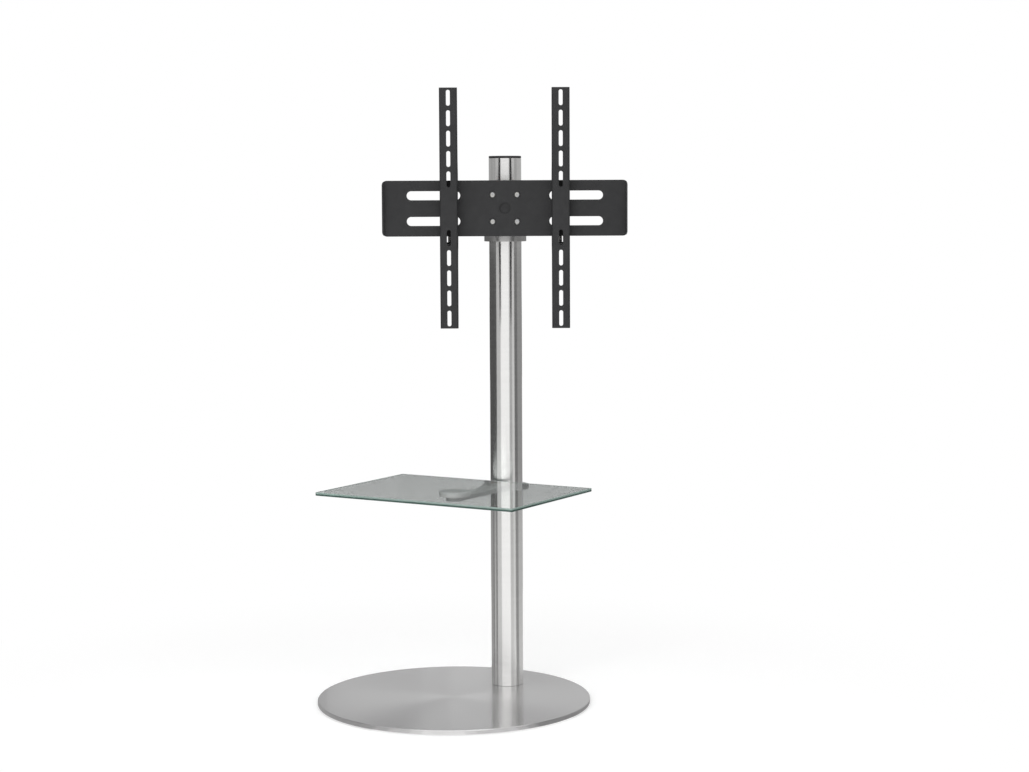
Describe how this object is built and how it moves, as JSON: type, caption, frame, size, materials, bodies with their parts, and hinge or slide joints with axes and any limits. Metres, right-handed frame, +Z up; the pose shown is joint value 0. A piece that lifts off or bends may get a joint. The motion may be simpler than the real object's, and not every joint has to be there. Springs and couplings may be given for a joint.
{
  "type": "television stand",
  "caption": "Floor stand for a flat screen: round steel base, offset steel column, clamped glass shelf and a swivelling, tilting head with two slotted screen arms.",
  "frame": {"origin": "on the floor under the centre of the round base, at the middle of the base mat's underside", "axes": "+Z up along the column, front of the base towards -Y, column behind the centre towards +Y"},
  "size_m": [0.5179, 0.5, 1.119],
  "materials": {
    "brushed_steel": "satin stainless steel, brushed along the tube",
    "spun_steel": "stainless steel brushed in circles round the centre",
    "black_paint": "fine-textured black powder coat",
    "zinc_steel": "zinc-plated steel",
    "black_plastic": "moulded black nylon",
    "pale_nylon": "natural nylon",
    "black_rubber": "matt rubber",
    "brown_fibre": "friction fibre",
    "shelf_glass": "clear float glass, polished edges"
  },
  "bodies": {
    "stand": {"base_mat": "black_rubber", "base_disc": "spun_steel", "column_tube": "brushed_steel", "cable_grommet_lower": "black_rubber", "cable_grommet_upper": "black_rubber", "column_plug": "zinc_steel", "column_bolt_1": "zinc_steel", "column_bolt_2": "zinc_steel", "column_bolt_3": "zinc_steel", "column_bolt_4": "zinc_steel", "column_cap": "black_plastic", "support_ring": "brushed_steel", "support_ring_screw": "zinc_steel"},
    "swivel_head": {"swivel_collar": "brushed_steel", "upper_bush": "pale_nylon", "lower_bush": "pale_nylon", "swivel_brake_pad": "pale_nylon", "yoke": "black_paint", "yoke_screw_1": "zinc_steel", "yoke_screw_2": "zinc_steel", "yoke_screw_3": "zinc_steel", "yoke_screw_4": "zinc_steel", "tilt_axle": "zinc_steel", "axle_washer_left": "zinc_steel", "axle_washer_right": "zinc_steel", "friction_washer_left": "brown_fibre", "friction_washer_right": "brown_fibre"},
    "swivel_lock": {"swivel_lock_stud": "zinc_steel", "swivel_lock_knob": "black_plastic"},
    "tilt_lock": {"tilt_knob": "black_plastic"},
    "tilt_head": {"tilt_bracket": "black_paint", "axle_spacer": "zinc_steel", "tilt_guide_screw_left": "zinc_steel", "tilt_guide_screw_right": "zinc_steel", "cross_plate": "black_paint", "plate_screw_1": "zinc_steel", "plate_screw_2": "zinc_steel", "plate_screw_3": "zinc_steel", "plate_screw_4": "zinc_steel"},
    "left_arm_body": {"left_arm": "black_paint", "left_arm_lock_screw": "zinc_steel"},
    "right_arm_body": {"right_arm": "black_paint", "right_arm_lock_screw": "zinc_steel"},
    "shelf_carrier": {"shelf_liner": "pale_nylon"},
    "shelf": {"shelf_bracket": "brushed_steel", "shelf_clamp_rear": "brushed_steel", "clamp_screw_left": "zinc_steel", "clamp_screw_right": "zinc_steel", "shelf_disc": "brushed_steel", "shelf_screw": "zinc_steel", "shelf_glass": "shelf_glass"}
  },
  "joints": [
    {"name": "head_swivel", "type": "hinge", "parent": "stand", "child": "swivel_head", "pos_m": [0, 0.145, 0.905], "axis": [0, 0, 1], "range_deg": [-132.5, 47.5]},
    {"name": "head_tilt", "type": "hinge", "parent": "swivel_head", "child": "tilt_head", "pos_m": [0.0608, 0.07865, 0.905], "axis": [0.7373, 0.6756, 0], "range_deg": [-5, 15]},
    {"name": "left_arm_slide", "type": "slide", "parent": "tilt_head", "child": "left_arm_body", "axis": [-0.7373, -0.6756, 0], "range_m": [-0.05, 0.095]},
    {"name": "right_arm_slide", "type": "slide", "parent": "tilt_head", "child": "right_arm_body", "axis": [0.7373, 0.6756, 0], "range_m": [-0.05, 0.095]},
    {"name": "tilt_knob_turn", "type": "hinge", "parent": "swivel_head", "child": "tilt_lock", "pos_m": [0.0608, 0.07865, 0.905], "axis": [0.7373, 0.6756, 0], "continuous": true},
    {"name": "swivel_knob_turn", "type": "hinge", "parent": "swivel_head", "child": "swivel_lock", "pos_m": [0, 0.145, 0.905], "axis": [-0.6756, 0.7373, 0], "continuous": true},
    {"name": "shelf_height", "type": "slide", "parent": "stand", "child": "shelf_carrier", "axis": [0, 0, 1], "range_m": [-0.2, 0.15]},
    {"name": "shelf_turn", "type": "hinge", "parent": "shelf_carrier", "child": "shelf", "pos_m": [0, 0.145, 0.38], "axis": [0, 0, 1], "range_deg": [-102, 78]}
  ]
}
